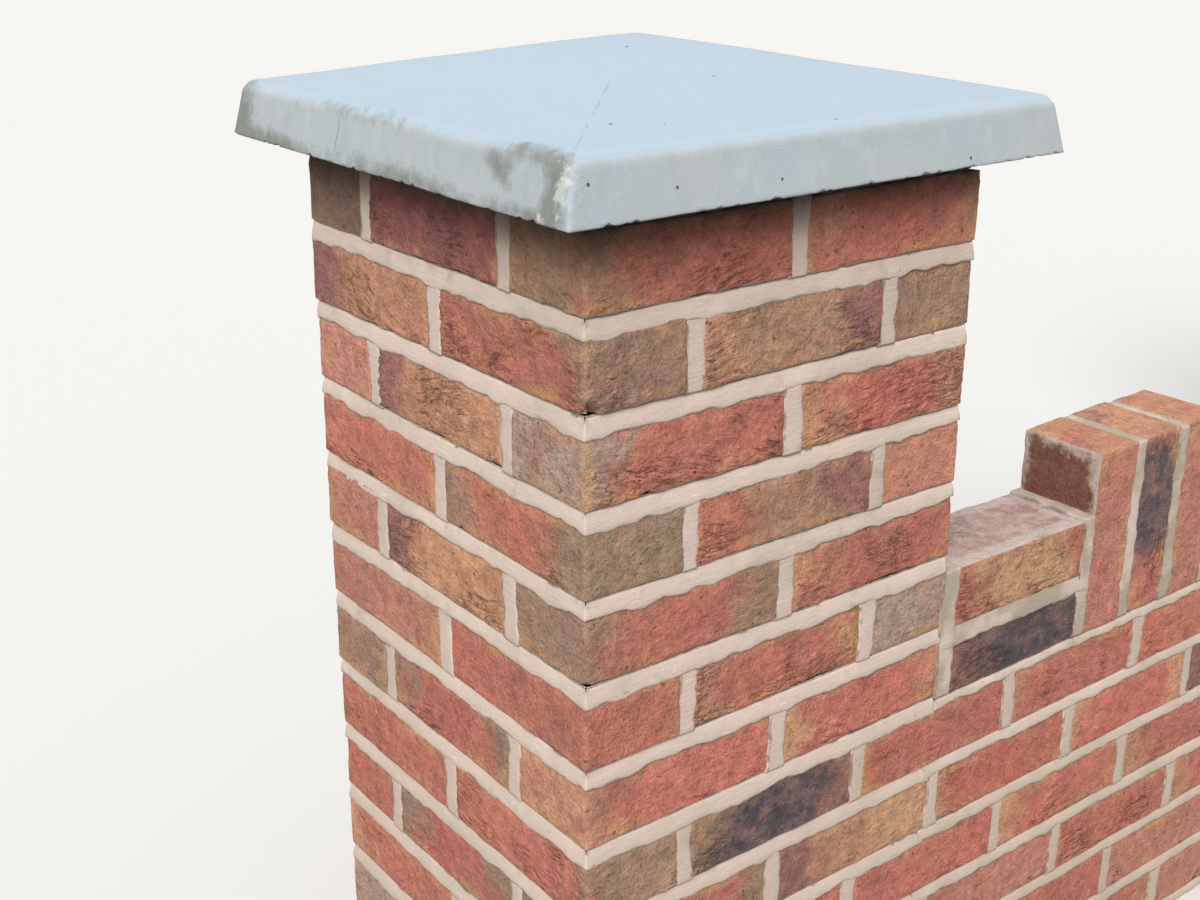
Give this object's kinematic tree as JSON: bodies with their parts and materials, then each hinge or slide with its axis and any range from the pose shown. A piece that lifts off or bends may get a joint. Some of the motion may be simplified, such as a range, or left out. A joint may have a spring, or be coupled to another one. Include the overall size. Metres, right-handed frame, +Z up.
{
  "type": "brick garden wall",
  "caption": "Low half-brick garden wall between square brick piers, toothed into both, with a castellated soldier coping and weathered concrete pier caps.",
  "frame": {"origin": "on the ground, halfway along the wall and in the middle of the piers' depth", "axes": "+X along the wall from the left pier to the right pier, +Z up, and the front, flush with the panel, faces -Y"},
  "size_m": [2.605, 0.544, 1.1418],
  "materials": {
    "brick": "matte",
    "mortar": "matte",
    "concrete": "matte"
  },
  "bodies": {
    "root": {"left_pier_course_1": "brick", "left_pier_course_2": "brick", "left_pier_course_3": "brick", "left_pier_course_4": "brick", "left_pier_course_5": "brick", "left_pier_course_6": "brick", "left_pier_course_7": "brick", "left_pier_course_8": "brick", "left_pier_course_9": "brick", "left_pier_course_10": "brick", "left_pier_course_11": "brick", "left_pier_course_12": "brick", "left_pier_course_13": "brick", "right_pier_course_1": "brick", "right_pier_course_2": "brick", "right_pier_course_3": "brick", "right_pier_course_4": "brick", "right_pier_course_5": "brick", "right_pier_course_6": "brick", "right_pier_course_7": "brick", "right_pier_course_8": "brick", "right_pier_course_9": "brick", "right_pier_course_10": "brick", "right_pier_course_11": "brick", "right_pier_course_12": "brick", "right_pier_course_13": "brick", "panel_course_1": "brick", "panel_course_2": "brick", "panel_course_3": "brick", "panel_course_4": "brick", "panel_course_5": "brick", "panel_course_6": "brick", "soldier_group_1": "brick", "soldier_group_2": "brick", "soldier_group_3": "brick", "low_coping_lower": "brick", "low_coping_upper": "brick", "left_pier_beds": "mortar", "right_pier_beds": "mortar", "panel_beds": "mortar", "low_coping_mortar": "mortar", "soldier_mortar": "mortar", "left_cap": "concrete", "right_cap": "concrete"}
  },
  "joints": []
}
